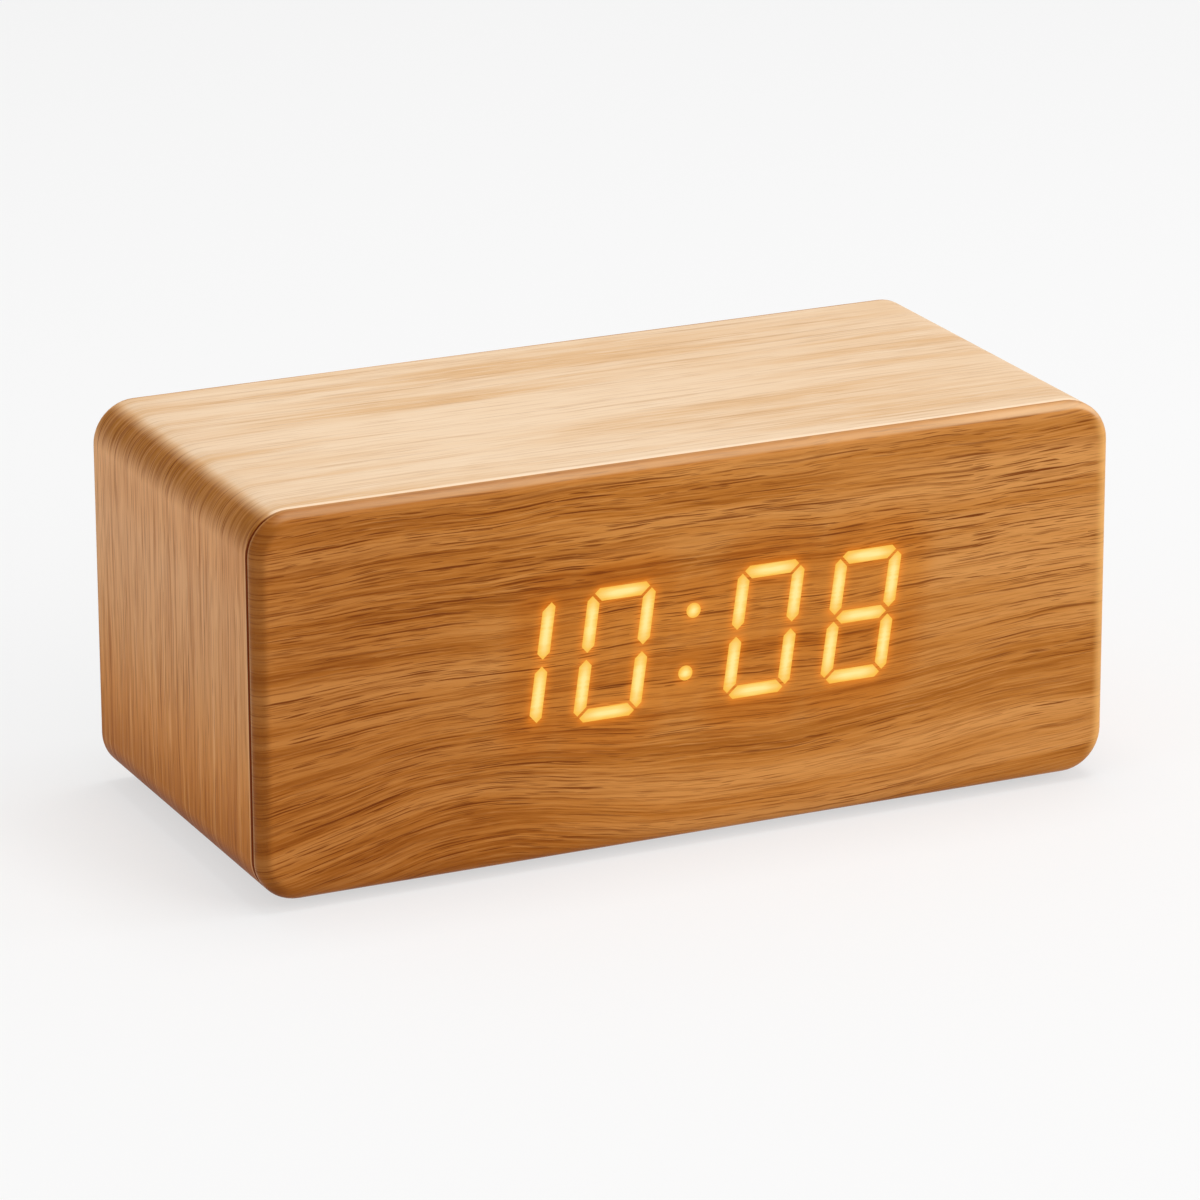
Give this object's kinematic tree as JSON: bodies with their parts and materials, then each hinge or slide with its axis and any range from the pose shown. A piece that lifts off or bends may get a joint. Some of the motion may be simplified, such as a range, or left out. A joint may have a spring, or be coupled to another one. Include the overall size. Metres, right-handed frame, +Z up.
{
  "type": "wooden alarm clock",
  "caption": "Rounded wooden block clock with a time display glowing through its veneer front, and a black back panel with buttons, slider, USB inlet and battery door.",
  "frame": {"origin": "middle of the footprint, at the underside of the feet", "axes": "+X to the right seen from the front, -Y out of the display, +Y out of the back panel, +Z up"},
  "size_m": [0.15, 0.069, 0.065],
  "materials": {
    "case_wood": "satin oiled maple veneer, grain round the block",
    "front_wood": "satin oiled oak-like veneer, grain across the face",
    "block_wood": "raw sawn softwood",
    "lit_digits": "amber light glowing through the thin veneer",
    "diffuser_film": "milky film",
    "mask_plastic": "moulded, fine grain",
    "led_body": "clear amber resin",
    "circuit_board": "green solder mask with tracks",
    "chip_plastic": "moulded epoxy",
    "chip_lead": "tinned",
    "can_metal": "drawn can",
    "holder_plastic": "moulded",
    "cell_steel": "satin nickel steel",
    "strap_metal": "spring bronze strip",
    "capacitor_sleeve": "aluminium can with sleeve",
    "socket_plastic": "ivory nylon",
    "ribbon": "grey flat cable with ribbed wires",
    "panel_plastic": "black moulded ABS, fine spark texture",
    "screw_steel": "zinc plated",
    "battery_jacket": "printed plastic sleeve, steel ends",
    "spring_wire": "nickel plated wire",
    "contact_nickel": "nickel plated sheet",
    "switch_plastic": "moulded",
    "plunger_plastic": "moulded",
    "button_plastic": "satin grey",
    "slider_plastic": "satin light grey",
    "usb_steel": "stainless shell",
    "usb_plastic": "moulded, gilt contacts",
    "microphone_can": "aluminium capsule",
    "buzzer_plastic": "moulded",
    "wire_red": "PVC insulation",
    "wire_black": "PVC insulation",
    "foot_rubber": "soft matt rubber"
  },
  "bodies": {
    "clock": {"case_shell": "case_wood", "front_panel": "front_wood", "lit_digits": "lit_digits", "diffuser_film": "diffuser_film", "display_mask": "mask_plastic", "segment_leds": "led_body", "main_board": "circuit_board", "board_screws": "screw_steel", "clock_chip": "chip_plastic", "driver_chip": "chip_plastic", "chip_leads": "chip_lead", "crystal_can": "can_metal", "memory_cell_holder": "holder_plastic", "memory_cell": "cell_steel", "memory_cell_strap": "strap_metal", "capacitor": "capacitor_sleeve", "ribbon_socket_front": "socket_plastic", "ribbon_cable": "ribbon", "ribbon_socket_rear": "socket_plastic", "back_panel": "panel_plastic", "back_screws": "screw_steel", "switch_board": "circuit_board", "switch_board_screws": "screw_steel", "slider_housing": "can_metal", "usb_shell": "usb_steel", "usb_tongue": "usb_plastic", "microphone": "microphone_can", "buzzer": "buzzer_plastic", "battery_lead_red": "wire_red", "battery_lead_black": "wire_black", "foot_1": "foot_rubber", "foot_2": "foot_rubber", "foot_3": "foot_rubber", "foot_4": "foot_rubber", "corner_block_1": "block_wood", "corner_block_2": "block_wood", "corner_block_3": "block_wood", "corner_block_4": "block_wood", "battery_1": "battery_jacket", "battery_2": "battery_jacket", "battery_3": "battery_jacket", "contact_spring_1": "spring_wire", "contact_spring_2": "spring_wire", "contact_spring_3": "spring_wire", "contact_plate_1": "contact_nickel", "contact_plate_2": "contact_nickel", "contact_plate_3": "contact_nickel", "contact_plate_4": "contact_nickel", "set_switch": "switch_plastic", "up_switch": "switch_plastic", "down_switch": "switch_plastic"},
    "set_key": {"set_button": "button_plastic", "set_plunger": "plunger_plastic"},
    "up_key": {"up_button": "button_plastic", "up_plunger": "plunger_plastic"},
    "down_key": {"down_button": "button_plastic", "down_plunger": "plunger_plastic"},
    "slider": {"sound_slider": "slider_plastic"},
    "door": {"battery_door": "panel_plastic"}
  },
  "joints": [
    {"name": "set_press", "type": "slide", "parent": "clock", "child": "set_key", "axis": [0, -1, 0], "range_m": [0, 0.0005], "stiffness_N_per_m": 400, "springref_m": -0.0004},
    {"name": "up_press", "type": "slide", "parent": "clock", "child": "up_key", "axis": [0, -1, 0], "range_m": [0, 0.0005], "stiffness_N_per_m": 400, "springref_m": -0.0004},
    {"name": "down_press", "type": "slide", "parent": "clock", "child": "down_key", "axis": [0, -1, 0], "range_m": [0, 0.0005], "stiffness_N_per_m": 400, "springref_m": -0.0004},
    {"name": "sound_slide", "type": "slide", "parent": "clock", "child": "slider", "axis": [1, 0, 0], "range_m": [0, 0.002]},
    {"name": "door_hinge", "type": "hinge", "parent": "clock", "child": "door", "pos_m": [-0.03315, 0.0319, 0.05165], "axis": [1, 0, 0], "range_deg": [0, 90]}
  ]
}
